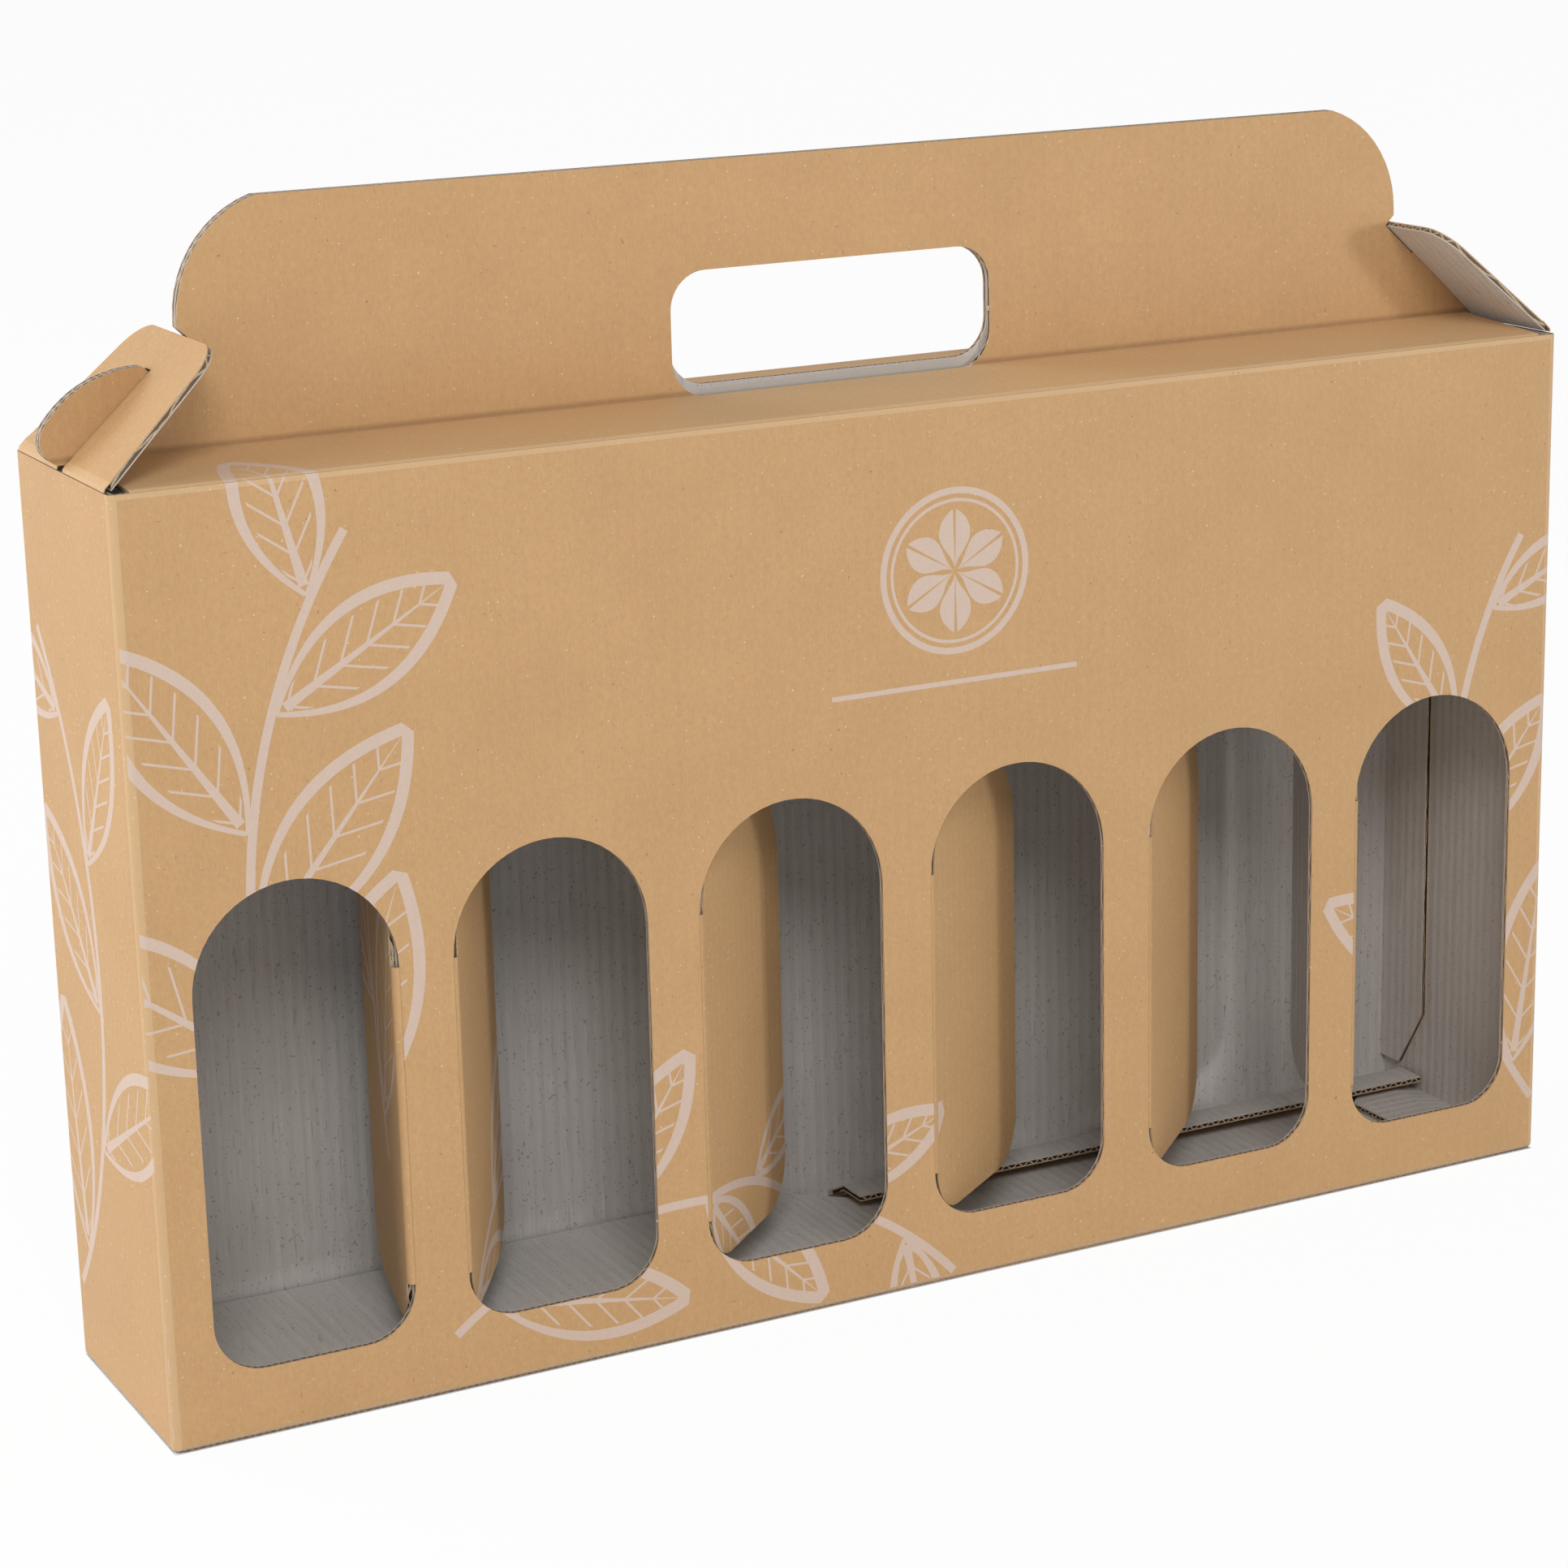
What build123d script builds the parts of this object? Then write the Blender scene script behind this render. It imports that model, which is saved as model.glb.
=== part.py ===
"""Six-bottle shipping box with a carrying handle, folded from one sheet of fine corrugated board.

Frame: millimetres, +Z up, +X along the length, +Y towards the back, the origin on the ground
in the middle of the box. One die-cut sheet makes the walls, the bottom, the top, the two
handle plies, the two slotted ears and the six divider flaps. The flaps that swing are solids
of their own, and all that stays folded or glued is the carton.
"""
import os
from math import acos, cos, radians, sin, sqrt

from build123d import *

# The sheet and its folds
board = 1.5                    # thickness of the corrugated board
fold_radius = 1.8              # outside of an upright fold
hem_radius = 1.4               # outside of a fold along the bottom
layer_gap = 0.3                # air between two layers that only lie on each other
swing_gap = 0.3                # clearance round a flap that swings

# The body
length = 375.0
depth = 65.5
height = 216.0                 # up to the crease between a wall and its top flap
top_rise = 2.0                 # the top panels climb this much from the wall to the handle
top_inset = 5.0                # the top panels stop this far from the outside of the end walls

# The windows and the divider flaps cut from them
window_count = 6
window_pitch = 61.0
window_width = 48.0
window_sill = 16.0
window_top = 127.5
window_corner = 12.0           # lower corners
divider_angles = [103.0, 58.0, 41.5, 36.0, 43.0, 73.0]   # how far each one stands open
divider_sides = [1, -1, -1, -1, -1, -1]                 # hinged on the right (1) or the left (-1)

# The handle
handle_inset = 27.75           # each side, from the end of the box
handle_rise = 55.5             # from the height of the creases to its top
handle_corner = 27.0           # radius of the upper corners
shoulder_rise = 29.7           # from the creases to the centre of that radius
hole_width = 84.5
hole_rise = 30.5               # from the creases to the top of the hole
hole_corner = 9.0
hole_step = 2.0                # the rear ply's hole starts this far above the crease
hole_bite = 1.5                # the front ply's hole cuts this far into the top panel

# The ears, which are the top flaps of the end walls, and the fins that lock them
ear_lean = 42.5                # angle above the ground of the locked ear
ear_length = 38.0
ear_base_inset = 2.5           # each side, at the crease
ear_tip_inset = 9.0            # each side, at the tip
ear_corner = 9.0
ear_slot = 28.0                # length of the slot, from the crease
fin_foot = 1.4                 # the fin's lower edge runs this far above the crease
fin_bulge = 4.4                # how far the fin stands out past the end wall
fin_bulge_rise = 7.0           # at this height above the crease

# The bottom flaps
lap_lift = 4.8                 # height of the underside of an upper flap
lap_ramp = 9.0                 # it climbs there over this width
lap_clear = 1.2                # from a flap's free edge to the wall that it points at
lap_cross = 176.0              # from the left wall: the front flap starts to dip under the strip
lap_cross_width = 30.0         # and lies on the ground after this much more
lower_lap_depth = 53.0         # depth of the front flap there, from the front
back_flap_length = 190.0       # the back flap's lower half, from the left wall
strip_start = 198.0            # the back flap's upper half, a strip, starts here
strip_depth = 18.0             # from the back wall
end_flap = 24.0                # from the end wall
end_flap_relief = 8.0          # from its side to the front or back wall
end_flap_cut = 11.0            # cut corners

# The glue tab inside the right end wall
tab_width = 18.0
tab_top_clear = 4.0            # below the crease
tab_foot = 24.0                # height at which its lower corner starts to slant
tab_cut = 10.0                 # width of that slant

# Values worked out from those above
half_length = length / 2
half_depth = depth / 2
inner_x = half_length - board
inner_y = half_depth - board
wall_top = height - swing_gap
crease = height + top_rise
ply_outer = board + layer_gap / 2
slot_width = 2 * (ply_outer + swing_gap)
window_half = window_width / 2
arch_centre = window_top - window_half
handle_half = half_length - handle_inset
handle_top = height + handle_rise
handle_shoulder = height + shoulder_rise
hole_top = height + hole_rise
fin_reach = ear_slot - 2 * swing_gap
notch_reach = ear_length + 2 * swing_gap
end_lift = board + layer_gap


def window_x(index):
    """Middle of a window, counted from the left."""
    return (index - (window_count - 1) / 2) * window_pitch


def from_crease(reach, angle):
    """A point beside the right ear's crease, by distance and by angle above the ground."""
    return inner_x - reach * cos(angle), height + reach * sin(angle)


def under_ear(reach):
    """Angle of the point at that distance that lies just below the locked right ear."""
    return radians(ear_lean) - swing_gap / reach


def arch(middle, inset=0.0):
    """A window's outline, shrunk all round by the inset."""
    half = window_half - inset
    corner = window_corner - inset
    low = window_sill + inset
    turn = corner * (1 - sqrt(0.5))
    left, right = middle - half, middle + half
    with BuildSketch() as outline:
        with BuildLine():
            Line((left + corner, low), (right - corner, low))
            ThreePointArc((right - corner, low), (right - turn, low + turn), (right, low + corner))
            Line((right, low + corner), (right, arch_centre))
            ThreePointArc((right, arch_centre), (middle, arch_centre + half), (left, arch_centre))
            Line((left, arch_centre), (left, low + corner))
            ThreePointArc((left, low + corner), (left + turn, low + turn), (left + corner, low))
        make_face()
    return outline.sketch


def ply_outline():
    """A handle ply from the front: fins, notches for the ears' tips and the rounded top."""
    low = crease - board
    foot = height + fin_foot
    fin_root = from_crease(fin_reach, under_ear(fin_reach))
    fin_cap = from_crease(fin_reach, radians(ear_lean + 7))
    fin_mid = from_crease(fin_reach, radians(ear_lean + 4))
    fin_back = (half_length + 0.6, height + 13.0)
    fin_shoulder = (half_length - 8.5, height + 19.0)
    bulge = (half_length + fin_bulge, height + fin_bulge_rise)
    notch_in = from_crease(notch_reach, under_ear(notch_reach))
    notch_angle = acos((inner_x - handle_half) / notch_reach)
    notch_mid = from_crease(notch_reach, (notch_angle + under_ear(notch_reach)) / 2)
    notch_out = from_crease(notch_reach, notch_angle)
    centre = handle_half - handle_corner
    rise = handle_top - handle_shoulder
    corner_end = (centre + sqrt(handle_corner**2 - rise**2), handle_top)
    corner_mid = (centre + handle_corner * sqrt(0.5), handle_shoulder + handle_corner * sqrt(0.5))
    fin_start = (half_length + 1.0, foot)
    root = (half_length - top_inset, low)
    with BuildSketch() as outline:
        with BuildLine():
            Polyline((0, low), root, (root[0], foot), fin_start)
            Spline(fin_start, bulge, fin_back, fin_shoulder, fin_cap)
            ThreePointArc(fin_cap, fin_mid, fin_root)
            Line(fin_root, notch_in)
            ThreePointArc(notch_in, notch_mid, notch_out)
            Line(notch_out, (handle_half, handle_shoulder))
            ThreePointArc((handle_half, handle_shoulder), corner_mid, corner_end)
            Polyline(corner_end, (0, handle_top), (0, low))
        make_face()
        mirror(about=Plane.YZ)
    return outline.sketch


def lap_profile(free_edge, lift):
    """Section of the front bottom flap, from its crease to its free edge."""
    start = -inner_y - board / 2
    knee = -inner_y + lap_ramp
    Polygon((start, 0), (knee, lift), (free_edge, lift), (free_edge, lift + board),
            (knee, lift + board), (start, board), align=None)


# The carton: all that stays folded
with BuildPart() as carton:
    # Walls, with rounded folds
    with BuildSketch():
        Rectangle(length, depth)
    extrude(amount=wall_top)
    fillet(carton.edges().filter_by(Axis.Z), fold_radius)
    fillet(carton.faces().sort_by(Axis.Z)[0].edges(), hem_radius)
    with BuildSketch():
        RectangleRounded(2 * inner_x, 2 * inner_y, layer_gap)
    extrude(amount=wall_top, mode=Mode.SUBTRACT)

    # Top panels, each bent from its wall and up into the handle
    for side in (-1, 1):
        with BuildSketch(Plane.YZ.offset(top_inset - half_length)) as fold:
            Polygon((side * half_depth, height - 12), (side * half_depth, height),
                    (side * ply_outer, crease), (side * layer_gap / 2, crease),
                    (side * layer_gap / 2, crease - board), (side * inner_y, height - board),
                    (side * inner_y, height - 12), align=None)
            corner = (side * half_depth, height, 0)
            fillet(fold.vertices().sort_by_distance(corner)[0], fold_radius)
        extrude(amount=length - 2 * top_inset)

    # The two plies of the handle
    for face_y in (-layer_gap / 2, ply_outer):
        with BuildSketch(Plane.XZ.offset(-face_y)):
            add(ply_outline())
        extrude(amount=board)

    # The hand hole: lower in the front ply, where it bites into the top panel
    hole_low = crease - board / 2
    with BuildSketch(Plane.XZ):
        with Locations((0, (hole_low + hole_top) / 2)):
            RectangleRounded(hole_width, hole_top - hole_low, hole_corner)
    extrude(amount=ply_outer + hole_bite, mode=Mode.SUBTRACT)
    with BuildSketch(Plane.XZ):
        with Locations((0, (crease + hole_step + hole_top) / 2)):
            RectangleRounded(hole_width, hole_top - crease - hole_step, hole_corner)
    extrude(amount=-ply_outer - board, mode=Mode.SUBTRACT)

    # Windows
    with BuildSketch(Plane.XZ.offset(half_depth)):
        for index in range(window_count):
            add(arch(window_x(index)))
    extrude(amount=-board, mode=Mode.SUBTRACT)

    # Front bottom flap: its left half lies on top, its right half on the ground
    cross = -half_length + lap_cross
    touch = cross + lap_cross_width
    upper_edge = inner_y - lap_clear
    lower_edge = lower_lap_depth - half_depth
    with BuildSketch(Plane.YZ.offset(lap_clear - inner_x)):
        lap_profile(upper_edge, lap_lift)
    extrude(amount=cross + inner_x - lap_clear)
    start, knee = -inner_y - board / 2, lap_ramp - inner_y
    for near, far, far_low in ((start, knee, knee), (knee, upper_edge, lower_edge)):
        near_lift = lap_lift if near == knee else 0
        with BuildSketch(Plane.YZ.offset(cross)):
            Polygon((near, near_lift), (far, lap_lift), (far, lap_lift + board),
                    (near, near_lift + board))
        with BuildSketch(Plane.YZ.offset(touch)):
            Polygon((near, 0), (far_low, 0), (far_low, board), (near, board))
        loft(ruled=True)
    with BuildSketch(Plane.YZ.offset(touch)):
        lap_profile(lower_edge, 0)
    extrude(amount=inner_x - lap_ramp - touch)

    # Back bottom flap: its left half lies on the ground, its right half is a strip on top
    under_start = lap_ramp - inner_x
    under_end = back_flap_length - half_length
    with BuildSketch():
        with Locations(((under_start + under_end) / 2, lap_ramp / 2 + board / 4)):
            Rectangle(under_end - under_start, 2 * inner_y - lap_ramp + board / 2)
    extrude(amount=board)
    with BuildSketch(Plane.YZ.offset(strip_start - half_length)):
        strip_knee = inner_y - lap_ramp
        strip_free = inner_y - strip_depth
        strip_back = inner_y + board / 2
        Polygon((strip_back, 0), (strip_knee, lap_lift), (strip_free, lap_lift),
                (strip_free, lap_lift + board), (strip_knee, lap_lift + board),
                (strip_back, board), align=None)
    extrude(amount=length - strip_start - board - lap_clear)

    # End bottom flaps, between the upper and the lower layer
    for side in (-1, 1):
        with BuildSketch(Plane.XZ.offset(end_flap_relief - inner_y)):
            end_knee = inner_x - lap_ramp + 2 * layer_gap
            end_free = inner_x - end_flap
            end_start = inner_x + board / 2
            Polygon(*[(side * x, z) for x, z in (
                (end_start, 0), (end_knee, end_lift), (end_free, end_lift),
                (end_free, end_lift + board), (end_knee, end_lift + board),
                (end_start, board))], align=None)
        end_width = 2 * (inner_y - end_flap_relief)
        extrude(amount=end_width)
        with BuildSketch(Plane.XY.offset(end_lift / 2)):
            for back in (-1, 1):
                corner = (side * end_free, back * end_width / 2)
                Polygon(corner, (side * (end_free + end_flap_cut), corner[1]),
                        (corner[0], back * (end_width / 2 - end_flap_cut)), align=None)
        extrude(amount=board + end_lift / 2, mode=Mode.SUBTRACT)

    # Glue tab, bonded to the inside of the right end wall
    with BuildSketch(Plane.YZ.offset(inner_x)):
        tab_low = lap_lift + 2 * board
        Polygon((inner_y, tab_low), (inner_y - tab_width + tab_cut, tab_low),
                (inner_y - tab_width, tab_foot), (inner_y - tab_width, height - tab_top_clear - tab_cut),
                (inner_y - tab_width + tab_cut / 2, height - tab_top_clear),
                (inner_y, height - tab_top_clear), align=None)
    extrude(amount=-board)


def ear(side):
    """The slotted top flap of an end wall, leaning in to its locked place."""
    lean = radians(ear_lean)
    plane = Plane(origin=(side * inner_x, 0, height), x_dir=(0, side, 0),
                  z_dir=(side * sin(lean), 0, cos(lean)))
    base = half_depth - ear_base_inset
    tip = half_depth - ear_tip_inset
    with BuildPart() as flap:
        with BuildSketch(plane):
            Polygon((-base, swing_gap), (base, swing_gap), (tip, ear_length), (-tip, ear_length))
        extrude(amount=board)
        tip_corners = flap.edges().filter_by(Axis((0, 0, 0), plane.z_dir)).sort_by(Axis.Z)[-2:]
        fillet(tip_corners, ear_corner)
        with BuildSketch(plane):
            with Locations((0, ear_slot / 2)):
                Rectangle(slot_width, ear_slot)
        extrude(amount=board, mode=Mode.SUBTRACT)
        # The base is mitred, so that the ear can fold outwards past upright
        mitre = Plane(origin=plane.origin, x_dir=plane.y_dir, z_dir=plane.x_dir)
        with BuildSketch(mitre.offset(-half_depth)):
            Polygon((0, 0), (swing_gap, 0), (swing_gap + board, board), (0, board))
        extrude(amount=depth, mode=Mode.SUBTRACT)
    return flap.part


def divider(index):
    """The flap cut from a window, standing open into the box on its upright crease."""
    side = divider_sides[index]
    turn = radians(divider_angles[index])
    middle = (window_x(index) + side * window_half * (1 - cos(turn)),
              -inner_y + window_half * sin(turn), 0)
    plane = Plane(origin=middle, x_dir=(cos(turn), -side * sin(turn), 0),
                  z_dir=(-side * sin(turn), -cos(turn), 0))
    with BuildPart() as flap:
        with BuildSketch(plane):
            add(arch(0, swing_gap))
        extrude(amount=board)
    return flap.part


os.makedirs("parts", exist_ok=True)
pieces = {"carton": carton.part, "left_ear": ear(-1), "right_ear": ear(1)}
for number in range(window_count):
    pieces[f"divider_{number + 1}"] = divider(number)
for name, piece in pieces.items():
    piece.label = name
    export_step(piece, f"parts/{name}.step")
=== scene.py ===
# %% [markdown]
# # A carrying box for six bottles, folded from one sheet of corrugated board
# The real object is a single die-cut sheet: two thin paper skins with a wavy sheet glued between them.
# It is brown outside and grey-white inside, it is printed in one pale ink, and every cut edge shows the waves.
# The measured model gives the folded shape. This lesson gives it its paper, its cut edges, its creases and its light.

from math import cos, pi, radians, sin

import bpy
from mathutils import Euler, Matrix, Vector
from mathutils.bvhtree import BVHTree


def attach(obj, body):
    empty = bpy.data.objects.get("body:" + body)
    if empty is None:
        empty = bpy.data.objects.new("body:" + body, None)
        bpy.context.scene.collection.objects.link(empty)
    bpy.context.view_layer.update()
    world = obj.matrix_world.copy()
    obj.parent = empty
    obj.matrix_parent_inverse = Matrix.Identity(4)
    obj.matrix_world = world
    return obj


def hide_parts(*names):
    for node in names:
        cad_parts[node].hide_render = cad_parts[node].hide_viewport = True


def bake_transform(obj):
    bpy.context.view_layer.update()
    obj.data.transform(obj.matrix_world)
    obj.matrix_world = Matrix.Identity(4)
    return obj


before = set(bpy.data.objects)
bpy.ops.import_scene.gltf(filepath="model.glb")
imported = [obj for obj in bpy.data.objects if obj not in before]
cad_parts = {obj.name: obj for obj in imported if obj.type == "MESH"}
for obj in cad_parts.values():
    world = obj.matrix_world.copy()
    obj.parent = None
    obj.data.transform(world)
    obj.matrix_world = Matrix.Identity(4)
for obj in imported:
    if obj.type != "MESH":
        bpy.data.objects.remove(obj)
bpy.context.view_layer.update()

# %% [markdown]
# ## The camera
# The camera stands to the front left of the box, a little above its handle, and looks slightly down.
# A fairly long lens keeps the far end from shrinking too much.

# %% Place the camera
camera_data = bpy.data.cameras.new("view")
camera_data.lens = 88.973
camera_data.sensor_width = 36.0
camera = bpy.data.objects.new("view", camera_data)
camera.location = (-0.42417, -0.79862, 0.36493)
camera.rotation_euler = Euler([radians(a) for a in (74.8102, 1.3296, -27.4778)], "XYZ")
bpy.context.scene.collection.objects.link(camera)
bpy.context.scene.camera = camera
print("camera at", tuple(camera.location))

# %% [markdown]
# ## Sums as shaders
# A pattern on paper is easier to read as a sum than as a web of nodes. A small class wraps a node's socket, so that
# signs such as + and < add the Math nodes. A second class holds a material and makes every other node in one way.


# %% A socket that can be used in sums
class Socket:
    """A node socket that can be used in sums."""

    def __init__(self, tree, link):
        self.tree, self.link = tree, link

    def sum_with(self, operation, first, second=None):
        node = self.tree.nodes.new("ShaderNodeMath")
        node.operation = operation
        for place, value in enumerate([first, second]):
            if isinstance(value, Socket):
                self.tree.links.new(value.link, node.inputs[place])
            elif value is not None:
                node.inputs[place].default_value = value
        return Socket(self.tree, node.outputs[0])

    def __add__(self, other): return self.sum_with("ADD", self, other)
    def __radd__(self, other): return self.sum_with("ADD", other, self)
    def __sub__(self, other): return self.sum_with("SUBTRACT", self, other)
    def __rsub__(self, other): return self.sum_with("SUBTRACT", other, self)
    def __mul__(self, other): return self.sum_with("MULTIPLY", self, other)
    def __rmul__(self, other): return self.sum_with("MULTIPLY", other, self)
    def __truediv__(self, other): return self.sum_with("DIVIDE", self, other)
    def __rtruediv__(self, other): return self.sum_with("DIVIDE", other, self)
    def __pow__(self, other): return self.sum_with("POWER", self, other)
    def __abs__(self): return self.sum_with("ABSOLUTE", self)
    def __lt__(self, other): return self.sum_with("LESS_THAN", self, other)
    def __gt__(self, other): return self.sum_with("GREATER_THAN", self, other)
    def wave(self): return self.sum_with("SINE", self)
    def larger(self, other): return self.sum_with("MAXIMUM", self, other)
    def smaller(self, other): return self.sum_with("MINIMUM", self, other)
    def repeat(self, step): return self.sum_with("FLOORED_MODULO", self, step)
    def share(self): return self.larger(0.0).smaller(1.0)


print("sums on sockets ready")


# %% A material and its nodes
class Finish:
    """The nodes of a new material, or of the world."""

    def __init__(self, name, world=None):
        self.material = world or bpy.data.materials.new(name)
        self.material.use_nodes = True
        self.tree = self.material.node_tree
        self.tree.nodes.clear()

    def node(self, kind, settings=None, result=0, **values):
        """A node of that type, with its settings, then values or links for its sockets by name, or by number as _0."""
        made = self.tree.nodes.new(kind)
        for name, value in (settings or {}).items():
            if name == "stops":
                ramp = made.color_ramp
                while len(ramp.elements) < len(value):
                    ramp.elements.new(0.5)
                for element, (place, colour) in zip(ramp.elements, value):
                    element.position, element.color = place, colour
            else:
                setattr(made, name, value)
        for name, value in values.items():
            socket = made.inputs[int(name[1:])] if name[0] == "_" else made.inputs[name.replace("_", " ")]
            if isinstance(value, Socket):
                self.tree.links.new(value.link, socket)
            else:
                socket.default_value = value
        return Socket(self.tree, made.outputs[result]) if len(made.outputs) else None

    def mix(self, factor, first, second):
        """One colour turning into another."""
        return self.node("ShaderNodeMix", {"data_type": "RGBA"}, 2, _0=factor, _6=first, _7=second)

    def place(self):
        """Where a point is on the piece, in millimetres: x, y and z."""
        at = self.node("ShaderNodeTexCoord", result=3)
        mm = self.node("ShaderNodeVectorMath", {"operation": "SCALE"}, _0=at, Scale=1000.0)
        split = self.node("ShaderNodeSeparateXYZ", _0=mm).link.node
        return mm, [Socket(self.tree, o) for o in split.outputs]

    def sheet(self, layer):
        """The piece's own map in millimetres: across the waves, and along them or through the board."""
        at = self.node("ShaderNodeUVMap", {"uv_map": layer})
        split = self.node("ShaderNodeSeparateXYZ", _0=at).link.node
        return Socket(self.tree, split.outputs[0]) * 100.0, Socket(self.tree, split.outputs[1])

    def noise(self, at, scale, detail=2.0, roughness=0.5):
        """Cloudy values from 0 to 1."""
        return self.node("ShaderNodeTexNoise", Vector=at, Scale=scale, Detail=detail, Roughness=roughness)

    def stretched(self, x, y, z):
        """A place for noise that is longer one way than the other."""
        return self.node("ShaderNodeCombineXYZ", _0=x, _1=y, _2=z)

    def finish(self, colour, roughness, height, distance, specular=0.3):
        """A dull surface with that colour, and with that height as its bumps."""
        bump = self.node("ShaderNodeBump", Height=height, Distance=distance, Strength=1.0)
        made = self.node("ShaderNodeBsdfPrincipled", _0=colour, Roughness=roughness, Normal=bump)
        made.link.node.inputs["Specular IOR Level"].default_value = specular
        self.node("ShaderNodeOutputMaterial", _0=made)
        return self.material


print("shader nodes ready")

# %% [markdown]
# ## The room
# A plain pale floor and three soft lamps: a large one high on the left, a weaker one behind on the left, which
# gives the end wall its sheen, and a faint one on the right. The world fills the rest. Rays from the camera,
# and mirrored ones, see plain white, so the background stays white with no more light on the box.

# %% The floor
half_length, half_depth, wall_top = 187.5, 32.75, 216.0   # outside of the four walls, and the fold above them, mm
bpy.ops.object.select_all(action="DESELECT")
bpy.ops.mesh.primitive_plane_add(size=12.0, location=(0, 0, -0.0002))
floor = bpy.context.object
floor.name = "floor"
pale = Finish("pale_floor")
rays = pale.node("ShaderNodeLightPath").link.node
seen = Socket(pale.tree, rays.outputs["Is Camera Ray"]).larger(Socket(pale.tree, rays.outputs["Is Glossy Ray"]))
seen = seen.larger(Socket(pale.tree, rays.outputs["Is Transmission Ray"]))
matte = pale.node("ShaderNodeBsdfDiffuse", Color=(0.86, 0.86, 0.86, 1))
white = pale.node("ShaderNodeEmission", Color=(1, 1, 1, 1), Strength=1.0)
_, (x, y, z) = pale.place()
under = (abs(x) < half_length - 0.3) * (abs(y) < half_depth - 0.25)
mixed = pale.node("ShaderNodeMixShader", _0=seen * (1 - under) * 0.95, _1=matte, _2=white)
pale.node("ShaderNodeOutputMaterial", _0=mixed)
floor.data.materials.append(pale.material)
print("floor made")

# %% The world
world = bpy.data.worlds.new("room")
bpy.context.scene.world = world
room = Finish("room", world)
rays = room.node("ShaderNodeLightPath").link.node
seen = Socket(room.tree, rays.outputs["Is Camera Ray"]).larger(Socket(room.tree, rays.outputs["Is Transmission Ray"]))
air = room.node("ShaderNodeBackground", Color=(1, 1, 1, 1), Strength=0.36)
wall = room.node("ShaderNodeBackground", Color=(1, 1, 1, 1), Strength=1.0)
room.node("ShaderNodeOutputWorld", _0=room.node("ShaderNodeMixShader", _0=seen, _1=air, _2=wall))
bpy.context.scene.view_settings.view_transform = "Standard"
print("world made")


# %% Soft lamps
def soft_lamp(name, place, target, size, power):
    """A square area lamp that looks at the target."""
    data = bpy.data.lights.new(name, "AREA")
    data.shape, data.size, data.energy = "SQUARE", size, power
    lamp = bpy.data.objects.new(name, data)
    lamp.location = place
    lamp.rotation_euler = (Vector(target) - Vector(place)).to_track_quat("-Z", "Y").to_euler()
    bpy.context.scene.collection.objects.link(lamp)
    return lamp


soft_lamp("key", (-0.75, -1.8, 1.75), (0, 0, 0.1), 0.9, 23)
soft_lamp("left_side", (-2.3, -0.1, 1.0), (0, 0, 0.15), 1.2, 17)
soft_lamp("sheen", (-1.5, 1.5, 1.0), (0, 0, 0.12), 1.4, 22)
soft_lamp("right_front", (1.35, -1.75, 0.34), (0.1, 0, 0.08), 0.3, 10)

# %% [markdown]
# ## The ink
# The sheet is printed in one pale pink-grey ink. The print here is a plain one: sprigs of pointed leaves that
# wander over the lower part and the left end, and a small rosette high in the middle. Each leaf is drawn by sums
# on the place of a point, so the print is sharp at any size and runs over the folds.


# %% One leaf
half_line = 1.25     # half the width of a printed line, mm


def leaf(across, up, x, z, angle, half, width):
    """A pointed leaf's outline, midrib and side veins: 1 where there is ink."""
    turn = radians(angle)
    along = (across - x) * cos(turn) + (up - z) * sin(turn)
    aside = abs((up - z) * cos(turn) - (across - x) * sin(turn))
    share = along / half
    edge = (1 - share * share) * width
    outline = (abs(aside - edge) < (share * 0.45 + 1.0) * half_line) * (abs(share) < 1.0)
    rib = aside < (1 - share) * (half_line * 0.5)
    veins = (along - aside * 1.15).repeat(half * 0.3) < half_line * 0.7
    return outline.larger(rib.larger(veins) * (aside < edge * 0.74) * (abs(share) < 0.9))


print("leaf ready")


# %% A stem with its leaves
def sprig(x, z, radius, start, end, count, half, width):
    """A curved stem with leaves by turns on its two sides: the leaves' values, and the stem's."""
    leaves = []
    for number in range(count):
        turn = start + (end - start) * (number + 0.35) / count
        side = 1 if number % 2 else -1
        way = turn + (90 if end > start else -90) + side * 42
        size = half * (1 - 0.07 * number)
        reach = size + 1.5
        leaf_x = x + radius * cos(radians(turn)) + reach * cos(radians(way))
        leaf_z = z + radius * sin(radians(turn)) + reach * sin(radians(way))
        leaves.append((leaf_x, leaf_z, way, size, width * (1 - 0.06 * number)))
    return leaves, (x, z, radius, min(start, end), max(start, end))


def stem(across, up, x, z, radius, start, end):
    """An arc of a circle, between two angles in degrees, from 0 to 360."""
    dx, dz = across - x, up - z
    away = (dx * dx + dz * dz) ** 0.5
    turn = (dz.sum_with("ARCTAN2", dz, dx) * (180 / pi)).repeat(360.0)
    return (abs(away - radius) < half_line * 0.85) * (turn > start) * (turn < end)


print("stem ready")


# %% The rosette
def rosette(across, up, x, z, radius):
    """Two rings with six petals in them."""
    dx, dz = across - x, up - z
    away = (dx * dx + dz * dz) ** 0.5
    rings = (abs(away - radius) < 0.8).larger(abs(away - radius * 0.88) < 0.4)
    turn = abs((dz.sum_with("ARCTAN2", dz, dx) * (180 / pi)).repeat(60.0) - 30.0)
    reach = away / (radius * 0.78)
    petal = (turn < (1 - reach) * reach * 112.0) * (turn > 1.6) * (reach < 1.0)
    return rings.larger(petal)


print("rosette ready")

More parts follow.
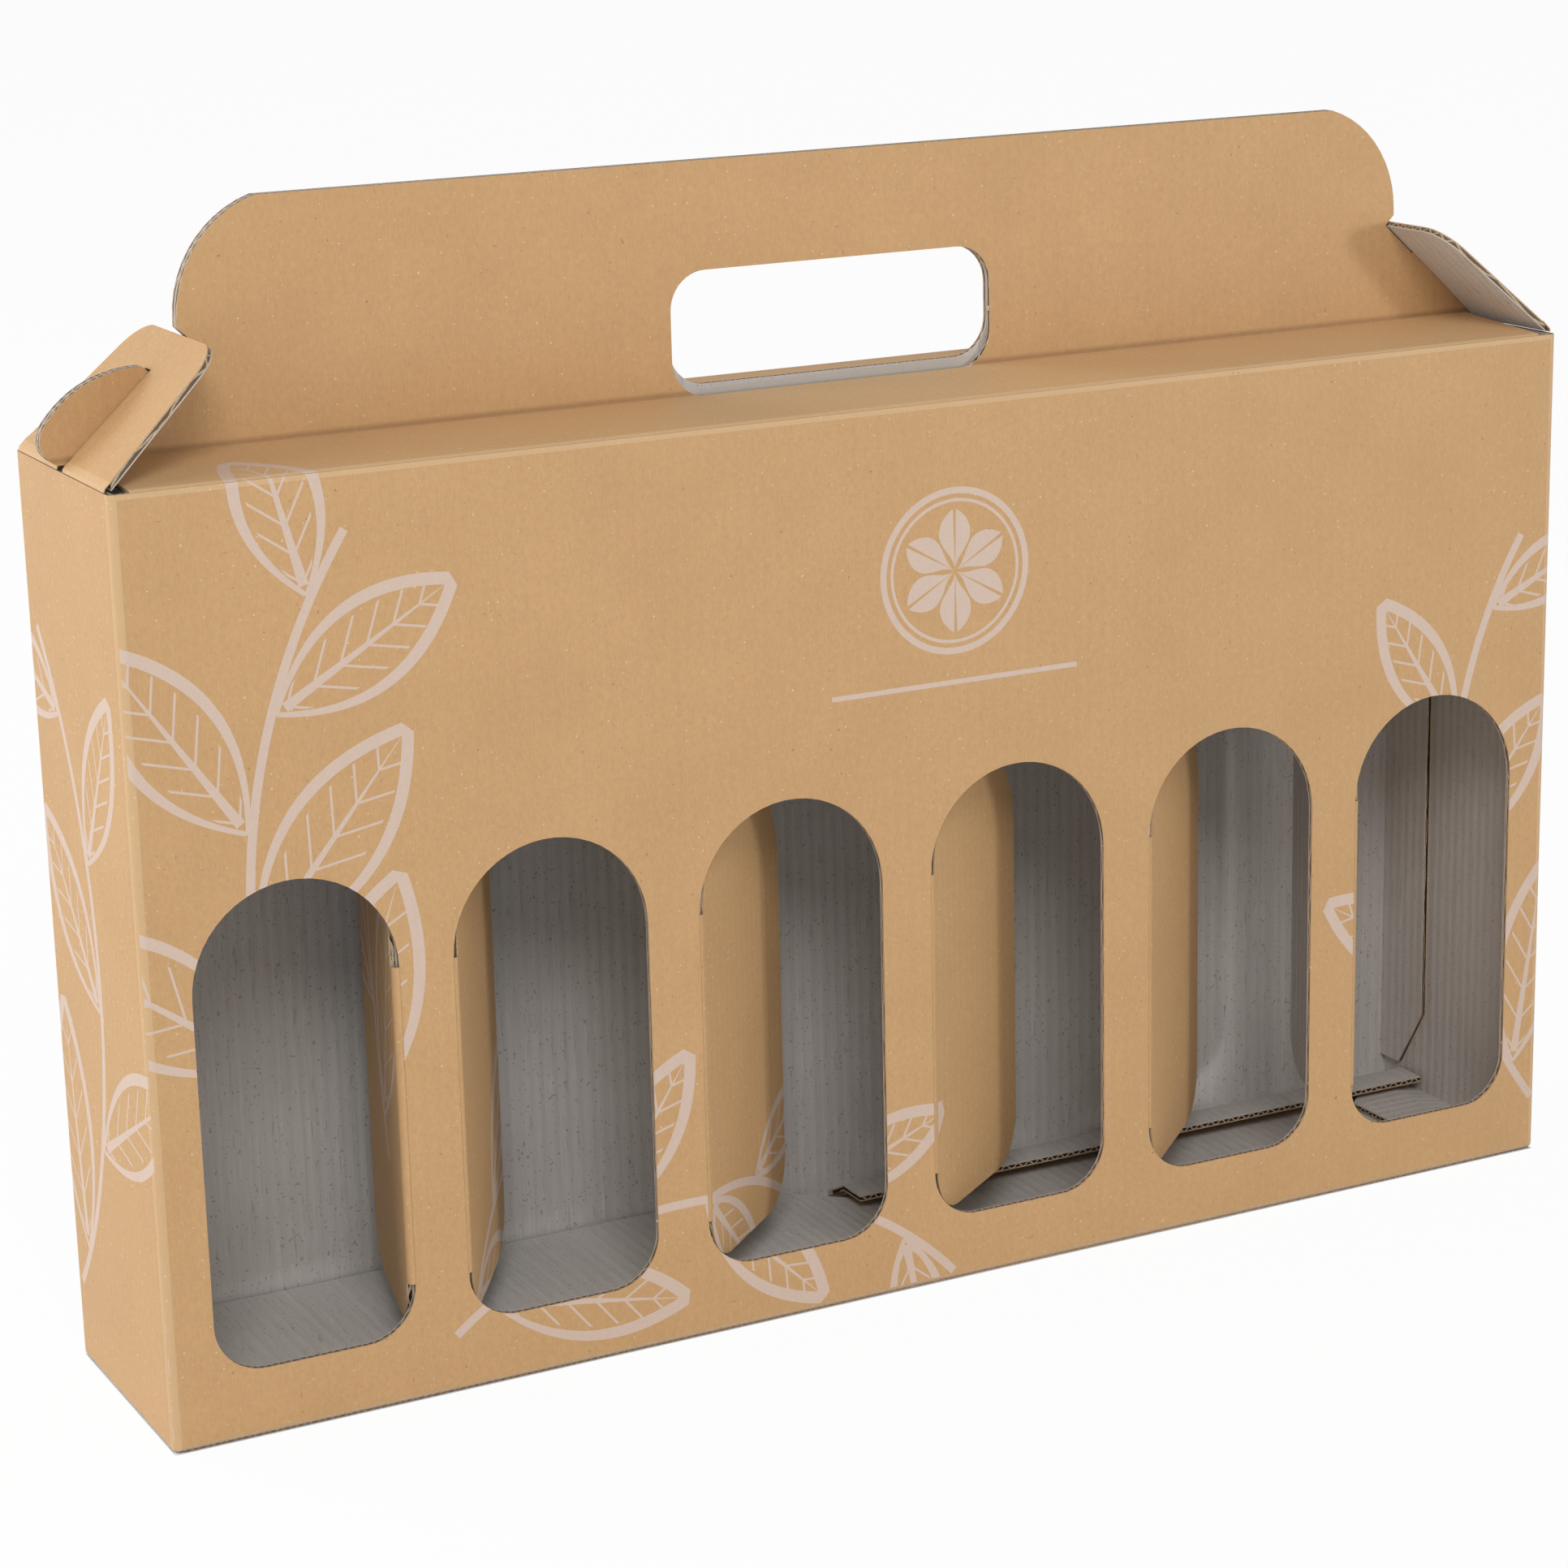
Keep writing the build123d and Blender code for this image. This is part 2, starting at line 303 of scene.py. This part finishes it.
# %% The whole print
# each: the middle of the stem's arc, its radius, its first and last angle, then the leaves' number, half length, width
sprigs = [
    sprig(-10, 118, 152, 206, 146, 6, 34, 13),
    sprig(-60, -62, 96, 128, 42, 5, 25, 8.5),
    sprig(290, 96, 132, 218, 148, 5, 27, 9.5),
]
end_sprig = sprig(118, 100, 120, 222, 140, 5, 30, 11)
print(sum(len(s[0]) for s in sprigs), "leaves on the front,", len(end_sprig[0]), "on the end")


def ink(across, y, z, everywhere):
    """The whole print: on the front and the back, or on a flap cut from them, and on the left end."""
    flat = rosette(across, z, 14, 176, 19).larger((abs(z - 149.5) < 0.6) * (abs(across - 14) < 33.0))
    for leaves, arc in sprigs:
        for spot in leaves:
            flat = flat.larger(leaf(across, z, *spot))
        flat = flat.larger(stem(across, z, *arc))
    if everywhere:
        return flat
    end = stem(y, z, *end_sprig[1])
    for spot in end_sprig[0]:
        end = end.larger(leaf(y, z, *spot))
    return flat, end


print("print ready")

# %% [markdown]
# ## The brown outer paper
# Unbleached kraft is never one colour. It has soft cloudy patches, short fibres, a few dark and pale specks, and
# very faint stripes where the waves below show through. Its folds carry a painted highlight, its sloped top panels
# are painted lighter as painted light, and the valley at the foot of the handle carries a painted shade.

# %% Brown paper, printed and plain
board = 1.5          # thickness of the corrugated board, mm
wave_pitch = 3.3     # one wave of its middle sheet, mm


def brown_paper(name, printed):
    """Kraft for the walls ("wall") or the dividers ("flap") with their print, or without one ("")."""
    paper = Finish(name)
    mm, (x, y, z) = paper.place()
    across, along = paper.sheet("sheet")
    clouds = paper.noise(mm, 0.035, 3.0, 0.6)
    mottle = paper.noise(mm, 0.8, 4.0, 0.7)
    fibres = paper.noise(paper.stretched(across * 2.2, along * 45.0, 0.0), 1.0, 3.0, 0.6)
    specks = paper.noise(mm, 1.25, 0.0) > 0.80
    motes = paper.noise(mm, 0.9, 1.0) < 0.215
    ridges = (across * (2 * pi / wave_pitch)).wave()
    colour = paper.mix((clouds * 1.6 - 0.3).share(), (0.545, 0.322, 0.142, 1), (0.615, 0.372, 0.172, 1))
    colour = paper.mix((mottle * 3.0 - 1.0).share() * 0.42, colour, (0.47, 0.275, 0.125, 1))
    colour = paper.mix((fibres * 3.0 - 1.15).share() * 0.30, colour, (0.67, 0.44, 0.235, 1))
    colour = paper.mix(ridges * 0.022 + 0.03, colour, (0.43, 0.26, 0.125, 1))
    colour = paper.mix(motes * 0.5, colour, (0.20, 0.11, 0.05, 1))
    colour = paper.mix(specks * 0.6, colour, (0.80, 0.62, 0.40, 1))
    # painted highlight: the vertical corners and the top folds are coloured paler
    painted_fold_highlight = (abs(abs(x) - half_length) < 1.9) * (abs(abs(y) - half_depth) < 1.9) * (z < wall_top)
    painted_top_fold_highlight = (abs(z - 216.2) < 1.7) * (abs(y) > 30.6)
    colour = paper.mix(painted_fold_highlight.larger(painted_top_fold_highlight) * 0.28 * (mottle + 0.45), colour, (0.80, 0.60, 0.38, 1))
    # painted shade: a dark line in the valley fold at the foot of the handle
    painted_valley_shade = (1 - abs(z - 218.4) / 1.1).larger(0.0) * (abs(y) < 2.4)
    colour = paper.mix(painted_valley_shade * 0.62, colour, (0.26, 0.14, 0.06, 1))
    # painted light: the sloped top panels are coloured paler
    painted_top_panel_light = (z > 215.9) * (abs(y) > 1.75) * (abs(y) < 32.5) * (z < 218.05)
    colour = paper.mix(painted_top_panel_light * 0.28, colour, (0.78, 0.54, 0.31, 1))
    if printed:
        if printed == "flap":
            covered = ink(across, y, z, True)
        else:
            facing = (y < 0.0) * 2.0 - 1.0                       # the back carries the print mirrored
            up = z + (half_depth - abs(y)) * (z > 215.95)        # it runs on over the top panels
            flat, end = ink(across * facing, y, up, False)
            covered = (flat * (abs(y) > 5.0) * (abs(x) < 187.2)).larger(end * (x < -187.2))
        wear = (paper.noise(mm, 2.3, 2.0, 0.6) * 2.6 - 0.55).share()
        covered = covered * (wear * 0.22 + 0.66)
        colour = paper.mix(covered, colour, (0.655, 0.525, 0.455, 1))
    height = mottle * 0.5 + fibres * 0.3 + ridges * 0.22
    return paper.finish(colour, mottle * 0.16 + 0.50, height, 0.00006, 0.34)


wall_paper = brown_paper("brown_paper_walls", "wall")
flap_paper = brown_paper("brown_paper_flaps", "flap")
plain_paper = brown_paper("brown_paper_plain", "")
print("outer paper", len(wall_paper.node_tree.nodes), "nodes")

# %% [markdown]
# ## The cut edge
# A knife through the board shows two thin papers and the wave between them, with hollows on both sides of it, which
# are given painted shade.
# An edge cut across the waves shows the whole wave. One cut along them shows long hollows instead. Both come from
# the same sums, because the map holds the place across the waves and the depth through the board.


# %% The board in section
def section(finish, mm, y, z, across, depth):
    """Where a cut shows paper, how torn it is there, and its colour, with painted shade in its hollows. Depth goes
    from 0 outside to 1 inside.
    """
    wander = finish.noise(mm, 0.12, 2.0) - 0.5
    tear = finish.noise(mm, 2.0, 2.0, 0.7)
    phase = (across + wander * 2.6) * (2 * pi / wave_pitch)
    middle = phase.wave() * 0.33 + 0.5
    steep = abs((phase + pi / 2).wave()) * 0.62 + 0.5
    wave = (abs(depth - middle) / steep) < (tear * 0.14 + 0.09)
    skins = (depth < (tear * 0.12 + 0.16)).larger(depth > (0.85 - tear * 0.10))
    paper = wave.larger(skins)
    colour = finish.mix(depth > 0.8, (0.50, 0.34, 0.20, 1), (0.54, 0.50, 0.46, 1))
    colour = finish.mix(wave * 0.7, colour, (0.40, 0.29, 0.19, 1))
    colour = finish.mix((tear * 3 - 1).share() * 0.5, colour, (0.62, 0.52, 0.41, 1))
    # painted shade: deep inside the box, and behind the foot of the hand hole, the hollows are painted near black, as
    # they get no light
    deepest_painted_shade = ((abs(y) < 30.9) * (z < 213.0)).larger((z > 217.0) * (z < 220.5) * (abs(y) < 1.6))
    # painted shade fills the hollows where no paper shows
    painted_hollow_shade = finish.mix(deepest_painted_shade, (0.15, 0.10, 0.06, 1), (0.022, 0.015, 0.010, 1))
    return paper, tear, finish.mix(paper, painted_hollow_shade, colour)


cut = Finish("cut_edge")
mm, (x, y, z) = cut.place()
across, depth = cut.sheet("cut")
paper, tear, colour = section(cut, mm, y, z, across, depth)
cut_edge = cut.finish(colour, tear * 0.1 + 0.75, paper + tear * 0.3, 0.0003, 0.2)
print("cut edge", len(cut_edge.node_tree.nodes), "nodes")

# %% [markdown]
# ## The grey-white inner paper
# The inside skin is recycled paper, grey-white and thin. The waves show through it much more: as fine vertical
# stripes, with short dark dashes where the glue line is dry. Along the foot of the hand hole, the cut fold of the
# front layer stands in front of it and shows its section.

# %% Inner paper
inner = Finish("grey_white_paper")
mm, (x, y, z) = inner.place()
across, along = inner.sheet("sheet")
clouds = inner.noise(mm, 0.05, 3.0, 0.6)
mottle = inner.noise(mm, 0.7, 3.0, 0.6)
stripes = inner.noise(inner.stretched(across * 1.5, along * 1.8, 3.0), 1.0, 2.0, 0.7)
dashes = inner.noise(inner.stretched(across * 1.6, along * 11.0, 9.0), 1.0, 1.0)
ridges = (across * (2 * pi / wave_pitch)).wave()
colour = inner.mix(clouds, (0.535, 0.505, 0.478, 1), (0.625, 0.595, 0.567, 1))
colour = inner.mix((stripes * 3.4 - 1.3).share() * 0.30, colour, (0.44, 0.405, 0.375, 1))
colour = inner.mix((dashes > 0.655) * (ridges > 0.4) * 0.38, colour, (0.30, 0.262, 0.225, 1))
colour = inner.mix((dashes < 0.34) * 0.30, colour, (0.68, 0.66, 0.64, 1))
colour = inner.mix((inner.noise(mm, 1.3, 0.0) < 0.24) * 0.5, colour, (0.22, 0.17, 0.12, 1))
# the section painted here includes the painted shade of its hollows
_, _, lip = section(inner, mm, y, z, across, (z - 217.2) / board)
colour = inner.mix((abs(y - 0.15) < 0.1) * (z < 218.75) * (z > 217.0) * (abs(x) < 42.2), colour, lip)
height = ridges * 0.55 + mottle * 0.3 + stripes * 0.4
inner_paper = inner.finish(colour, mottle * 0.15 + 0.55, height, 0.00009, 0.3)
print("inner paper", len(inner_paper.node_tree.nodes), "nodes")

# %% [markdown]
# ## The board
# The measured solids have the right shape, but they are loose triangles with one colour. Each is copied and
# merged, and its faces are sorted into outside, inside and cut edge. A face is a skin of the board if the other
# skin lies one board's thickness behind it. All the rest was cut by the knife.

# %% Which way the waves run, and which side is brown
ear_lean = radians(42.5)                              # how far the ears rise from level
fold_angles = [103.0, 58.0, 41.5, 36.0, 43.0, 73.0]   # how far each divider stands open, degrees
fold_sides = [1, -1, -1, -1, -1, -1]                  # hinged on the right (1) or the left (-1) of its window
window_step = 61.0                                    # from window to window, mm
window_half = 24.0                                    # from a window's middle to its side, mm
inner_length, inner_depth = half_length - board, half_depth - board


def ear_plane(side):
    """Across the ear, up it, and out of its brown side."""
    across, up = Vector((0, side, 0)), Vector((-side * cos(ear_lean), 0, sin(ear_lean)))
    return across, up, Vector((side * sin(ear_lean), 0, cos(ear_lean)))


def divider_plane(index):
    """Across the divider, up it, and out of its brown side."""
    side, turn = fold_sides[index], radians(fold_angles[index])
    across, up = Vector((cos(turn), -side * sin(turn), 0)), Vector((0, 0, 1))
    return across, up, Vector((-side * sin(turn), -cos(turn), 0))


def hinge_at(index):
    """How far along the box a divider's fold is, mm."""
    return (index - 2.5) * window_step + fold_sides[index] * window_half


def carton_side(centre, normal):
    """'x' or 'y' for the direction across the waves, and whether this skin is the brown one."""
    x, y, z = centre * 1000
    if z > 216.45 and abs(y) < 1.8:                          # the handle's two plies
        return "x", normal.y * y > 0
    if z > 214.2:                                            # the top panels
        return "x", normal.z > 0 or abs(y) > 32
    if z < 7.9 and abs(x) < 185.9 and abs(y) < 31.15:        # the bottom flaps, with those of the ends between them
        return ("y" if 1.7 < z < 3.5 and abs(x) > 160 else "x"), normal.z < 0
    if abs(x) > 184.4 and abs(normal.x) > abs(normal.y):     # the end walls and the glue tab
        return "y", abs(x) > 186.3
    if z < 1.5 and normal.z < -0.5:                          # the folds along the ground
        return "x", True
    return "x", abs(y) > 31.6 or abs(x) > 186.3              # the front and the back


print("ear normal", ear_plane(1)[2], "first divider normal", divider_plane(0)[2])


# %% A merged copy
def merged_copy(node):
    """A measured solid's mesh, merged, in a new piece that is selected."""
    bpy.ops.object.select_all(action="DESELECT")
    piece = bpy.data.objects.new(node + "_board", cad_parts[node].data.copy())
    bpy.context.scene.collection.objects.link(piece)
    piece.select_set(True)
    bpy.context.view_layer.objects.active = piece
    bpy.ops.object.mode_set(mode="EDIT")
    bpy.ops.mesh.select_all(action="SELECT")
    bpy.ops.mesh.remove_doubles(threshold=2e-6)
    bpy.ops.object.mode_set(mode="OBJECT")
    bpy.ops.mesh.customdata_custom_splitnormals_clear()
    return piece


print("copying ready")

# %% Sort the faces of a copy
outside, inside, cut_side = range(3)     # the places of the three finishes in a piece's list


def sort_flap(mesh, plane):
    """A flap is flat, so the way that a face looks is enough."""
    for face in mesh.polygons:
        facing = face.normal.dot(plane[2])
        face.material_index = outside if facing > 0.9 else inside if facing < -0.9 else cut_side
    return ["plane"] * len(mesh.polygons)


def sort_carton(mesh):
    """The folded sheet is probed with a ray from each face. The answer is the direction across the waves there."""
    tree = BVHTree.FromPolygons([v.co for v in mesh.vertices], [list(p.vertices) for p in mesh.polygons])
    ways = []
    for face in mesh.polygons:
        normal, centre = face.normal.copy(), face.center.copy()
        hit, hit_normal, _, gap = tree.ray_cast(centre - normal * 1e-5, -normal, 0.01)
        skin = hit is not None and gap < 0.0023 and hit_normal.dot(normal) < -0.8
        way, brown = carton_side(centre, normal)
        tab = abs(centre.x - 0.1845) < 1e-4 and normal.x < -0.9       # glued flat to a wall, so twice as thick
        hole_foot = abs(centre.z - 0.21725) < 3e-4 and normal.z > 0.9 and abs(centre.x) < 0.0425
        face.material_index = (outside if brown else inside) if (skin or tab) and not hole_foot else cut_side
        ways.append(way)
    return ways


print("sorting ready")


# %% Lay the two maps
def lay_maps(mesh, ways, plane, origin):
    """One map holds the place across and along the waves, and the other the place across them and the depth."""
    depth = {}
    for face in mesh.polygons:
        if face.material_index != cut_side:
            for v in face.vertices:
                depth.setdefault(v, face.material_index)
    sheet, cut_map = mesh.uv_layers.new(name="sheet"), mesh.uv_layers.new(name="cut")
    for face, way in zip(mesh.polygons, ways):
        at = face.center
        on_tab = not plane and face.material_index == cut_side and at.x > 0.1844
        on_tab = on_tab and at.y > 0.0125 and 0.007 < at.z < 0.213
        for loop in face.loop_indices:
            v = mesh.loops[loop].vertex_index
            co = mesh.vertices[v].co
            if plane:
                across, along = (co - origin).dot(plane[0]), co.dot(plane[1])
            elif way == "x":
                across, along = co.x, co.z + co.y
            else:
                across, along = co.y, co.z + co.x
            sheet.data[loop].uv = (across * 10, along * 10)
            through = (0.186 - co.x) / 0.0015 if on_tab else depth.get(v, 0.5)
            cut_map.data[loop].uv = (across * 10, through)


print("maps ready")


# %% Make the boards
def board_from(node, paper, plane=None, origin=Vector()):
    """A merged copy of a solid with its three finishes and two maps."""
    piece = merged_copy(node)
    mesh = piece.data
    mesh.materials.clear()
    for material in (paper, inner_paper, cut_edge):
        mesh.materials.append(material)
    lay_maps(mesh, sort_flap(mesh, plane) if plane else sort_carton(mesh), plane, origin)
    bpy.ops.object.shade_smooth_by_angle(angle=radians(35))
    return piece


for node in sorted(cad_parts):
    if node.endswith("ear"):
        piece = board_from(node, plain_paper, ear_plane(-1 if node.startswith("left") else 1))
    elif node.startswith("divider"):
        index = int(node[-1]) - 1
        plane = divider_plane(index)
        hinge = Vector((hinge_at(index), -inner_depth, 0)) * 0.001
        piece = board_from(node, flap_paper, plane, hinge - plane[0] * (hinge_at(index) * 0.001))
    else:
        piece = board_from(node, wall_paper)
    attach(piece, node)
    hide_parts(node)
    count = [sum(f.material_index == k for f in piece.data.polygons) for k in range(3)]
    print(node, "faces outside, inside, cut:", count)

# %% [markdown]
# ## The creases
# A flap doesn't end at its fold: the outer paper runs round it. Each crease is a thin strip that starts on the
# wall and is spun round the fold line, with the board's thickness as its radius, until it meets the flap.


# %% Spin a strip round a fold line
def metres(x, y, z):
    """A place that is given in millimetres."""
    return (x * 0.001, y * 0.001, z * 0.001)


def first_strip(name, behind, start, run):
    """A narrow strip on the wall beside the fold, with its edge along the fold selected."""
    bpy.ops.object.select_all(action="DESELECT")
    bpy.ops.mesh.primitive_plane_add(size=1.0)
    strip = bpy.context.object
    strip.name = name
    behind, start = Vector(behind), Vector(start)
    for vertex, place in zip(strip.data.vertices, (behind, start, behind + run, start + run)):
        vertex.co = place
    bpy.ops.object.mode_set(mode="EDIT")
    bpy.ops.mesh.select_all(action="DESELECT")
    bpy.ops.mesh.select_mode(type="EDGE")
    bpy.ops.object.mode_set(mode="OBJECT")
    for edge in strip.data.edges:
        points = [strip.data.vertices[v].co for v in edge.vertices]
        edge.select = all((p - start).cross(run).length < 1e-9 for p in points)
    return strip


def crease(name, behind, start, pivot, axis, run, angle, onward):
    """behind and start lie on the wall, run is the way along the fold, and onward is the way on over the flap."""
    strip = first_strip(name, behind, start, run)
    bpy.ops.object.mode_set(mode="EDIT")
    bpy.ops.mesh.spin(steps=8, angle=angle, center=pivot, axis=axis)
    bpy.ops.mesh.extrude_edges_move(TRANSFORM_OT_translate={"value": onward})
    bpy.ops.mesh.select_all(action="SELECT")
    bpy.ops.mesh.remove_doubles(threshold=1e-7)
    bpy.ops.mesh.subdivide(number_cuts=1)
    bpy.ops.object.mode_set(mode="OBJECT")
    mesh = strip.data
    for face in mesh.polygons:
        outward = face.center - Vector(pivot)
        outward -= outward.dot(run) / run.length_squared * run
        if face.normal.dot(outward) < 0:
            face.flip()
    thick = strip.modifiers.new("paper", "SOLIDIFY")
    thick.thickness, thick.offset = 0.00028, -1.0
    bpy.ops.object.modifier_apply(modifier="paper")
    mesh.materials.append(plain_paper)
    layer = mesh.uv_layers.active or mesh.uv_layers.new(name="sheet")
    layer.name = "sheet"
    for loop in mesh.loops:
        co = mesh.vertices[loop.vertex_index].co
        layer.data[loop.index].uv = ((co.x if abs(run.z) > 0 else co.y) * 10, (co.z + co.x) * 10)
    bpy.ops.object.shade_smooth_by_angle(angle=radians(40))
    return strip


def spans(piece):
    """The smallest and the largest x, y and z of a piece, mm."""
    return [[round(f(v.co[k] for v in piece.data.vertices) * 1000, 2) for k in range(3)] for f in (min, max)]


print("crease helper ready")

# %% Creases of the dividers
crease_low, crease_high = 28.2, 103.4     # the straight part of a window's side, mm
for index, (side, turn) in enumerate(zip(fold_sides, fold_angles)):
    across, _, out = divider_plane(index)
    hinge = hinge_at(index)
    start = metres(hinge, -half_depth, crease_low)
    pivot = metres(hinge, -inner_depth, crease_low)
    run = Vector(metres(0, 0, crease_high)) - Vector(metres(0, 0, crease_low))
    strip = crease(f"divider_{index + 1}_crease", metres(hinge + side * 0.05, -half_depth, crease_low), start, pivot,
                   (0, 0, 1), run, side * radians(turn), across * (-side * 0.0006) + out * 0.00003)
    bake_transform(strip)
    print(strip.name, "spans", spans(strip))

# %% Creases of the ears
for side, body in ((-1, "left_ear"), (1, "right_ear")):
    _, up, out = ear_plane(side)
    for half, (y0, y1) in enumerate(((-30.2, -2.0), (2.0, 30.2))):     # the slot for the fin lies between
        start = metres(side * half_length, y0, wall_top)
        pivot = metres(side * inner_length, y0, wall_top)
        run = Vector(metres(0, y1, 0)) - Vector(metres(0, y0, 0))
        strip = crease(f"{body}_crease_{half + 1}", metres(side * half_length, y0, wall_top - 0.05), start, pivot,
                       (0, 1, 0), run, side * radians(47.5), up * 0.0025 + out * 0.00005)
        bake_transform(strip)
        print(strip.name, "spans", spans(strip))

# %% [markdown]
# ## The nicks
# While the sheet is still flat, the dividers hang in their windows by tiny uncut bridges. When a divider is pushed
# in, each bridge tears and leaves a pale tuft of fibres on the edge. One tuft is modelled, bent and roughened, and
# copied to each place, every copy with its own mesh.

# %% One torn nick
bpy.ops.object.select_all(action="DESELECT")
bpy.ops.mesh.primitive_cube_add(size=0.001)
tuft = bpy.context.object
tuft.name = "nick_0"
bpy.ops.object.mode_set(mode="EDIT")
bpy.ops.mesh.select_all(action="SELECT")
bpy.ops.mesh.subdivide(number_cuts=2)
bpy.ops.transform.resize(value=(0.9, 0.55, 0.8))
bpy.ops.transform.vertex_random(offset=0.00016, seed=4)
bpy.ops.object.mode_set(mode="OBJECT")
bpy.ops.object.shade_smooth_by_angle(angle=radians(60))
fibre = Finish("torn_fibre")
mm, _ = fibre.place()
grain = fibre.noise(mm, 3.0, 3.0, 0.7)
colour = fibre.mix(grain, (0.52, 0.40, 0.28, 1), (0.86, 0.80, 0.72, 1))
fibre.finish(colour, grain * 0.1 + 0.85, grain, 0.0002, 0.1)
tuft.data.materials.append(fibre.material)
print("a nick has", len(tuft.data.polygons), "faces")

# %% Its copies
shape = tuft.data.copy()
# beside each divider's free edge, at the tops of three windows, and on the handle's edges
spots = [((index - 2.5) * window_step - side * 24.3, -32.2, z)
         for index, side in enumerate(fold_sides) for z in (103.0, 31.0)]
spots += [((index - 2.5) * window_step + shift, -32.2, 127.8) for index, shift in ((0, -4.0), (2, 3.0), (4, -2.0))]
spots += [(42.1, -1.2, 231.0), (-150.8, -1.0, 265.2), (61.0, -1.2, 270.9)]
for number, spot in enumerate(spots):
    if number:
        tuft = bpy.data.objects.new(f"nick_{number}", shape.copy())
        bpy.context.scene.collection.objects.link(tuft)
    turn = Euler((number * 1.3, number * 0.7, number * 2.1)).to_matrix().to_4x4()
    size = Matrix.Scale(0.62 + 0.09 * (number % 4), 4)
    tuft.data.transform(Matrix.Translation(Vector(spot) * 0.001) @ turn @ size)
    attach(tuft, "carton")
print(len(spots), "nicks")
